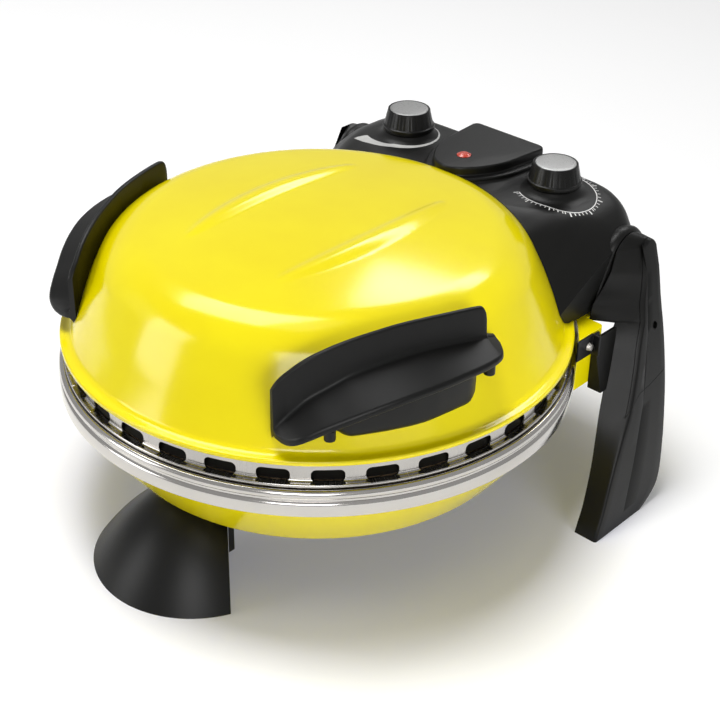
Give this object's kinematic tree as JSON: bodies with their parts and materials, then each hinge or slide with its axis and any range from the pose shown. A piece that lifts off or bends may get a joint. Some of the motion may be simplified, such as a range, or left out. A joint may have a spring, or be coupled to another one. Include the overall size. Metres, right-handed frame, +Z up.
{
  "type": "electric pizza maker",
  "caption": "Round electric pizza maker with a yellow domed lid that swings up on two splayed black rear legs.",
  "frame": {"origin": "centre of the bounding box's bottom, on the floor that the front foot and the two rear legs stand on", "axes": "+Z up, the front with its single foot faces -Y, +X is the right side seen from the front"},
  "size_m": [0.376, 0.3968, 0.2179],
  "materials": {
    "yellow_enamel": "gloss",
    "black_plastic": "satin",
    "polished_steel": "polished",
    "dark_steel": "satin",
    "white_ceramic": "matte",
    "baking_stone": "rough",
    "silver_cap": "satin",
    "red_lens": "gloss",
    "black_rubber": "matte"
  },
  "bodies": {
    "base": {"lower_pan": "yellow_enamel", "rim_band": "polished_steel", "lower_reflector": "polished_steel", "baking_stone": "baking_stone", "lower_heating_element": "dark_steel", "lower_element_clip_1": "dark_steel", "lower_element_clip_2": "dark_steel", "lower_element_clip_3": "dark_steel", "lower_terminal_block": "white_ceramic", "front_foot": "black_plastic", "front_foot_bracket": "black_plastic", "left_leg": "black_plastic", "left_leg_cover": "black_plastic", "left_hinge_block": "yellow_enamel", "left_hinge_bracket": "dark_steel", "left_bracket_screw": "polished_steel", "left_hinge_pin": "polished_steel", "right_leg": "black_plastic", "right_leg_cover": "black_plastic", "right_hinge_block": "yellow_enamel", "right_hinge_bracket": "dark_steel", "right_bracket_screw": "polished_steel", "right_hinge_pin": "polished_steel"},
    "lid": {"lid_dome": "yellow_enamel", "vent_ring": "polished_steel", "upper_reflector": "polished_steel", "upper_heating_element": "dark_steel", "upper_element_clip_1": "dark_steel", "upper_element_clip_2": "dark_steel", "upper_element_clip_3": "dark_steel", "upper_terminal_block": "white_ceramic", "left_handle_grip": "black_plastic", "left_handle_bracket": "black_plastic", "left_handle_screw_front": "black_plastic", "left_handle_screw_rear": "black_plastic", "right_handle_grip": "black_plastic", "right_handle_bracket": "black_plastic", "right_handle_screw_front": "black_plastic", "right_handle_screw_rear": "black_plastic", "control_housing": "black_plastic", "housing_cover": "black_plastic", "cord_gland": "black_rubber", "indicator_lens": "red_lens", "thermostat_body": "black_plastic", "timer_body": "black_plastic"},
    "thermostat_dial": {"thermostat_knob": "black_plastic", "thermostat_knob_cap": "silver_cap", "thermostat_shaft": "polished_steel"},
    "timer_dial": {"timer_knob": "black_plastic", "timer_knob_cap": "silver_cap", "timer_shaft": "polished_steel"}
  },
  "joints": [
    {"name": "lid_hinge", "type": "hinge", "parent": "base", "child": "lid", "pos_m": [0, 0.15705, 0.164], "axis": [-1, 0, 0], "range_deg": [0, 95]},
    {"name": "thermostat_turn", "type": "hinge", "parent": "lid", "child": "thermostat_dial", "pos_m": [-0.0677, 0.14985, 0.2027], "axis": [0, 0, 1], "range_deg": [-270, 0]},
    {"name": "timer_turn", "type": "hinge", "parent": "lid", "child": "timer_dial", "pos_m": [0.0677, 0.14985, 0.2027], "axis": [0, 0, 1], "range_deg": [-300, 0]}
  ]
}
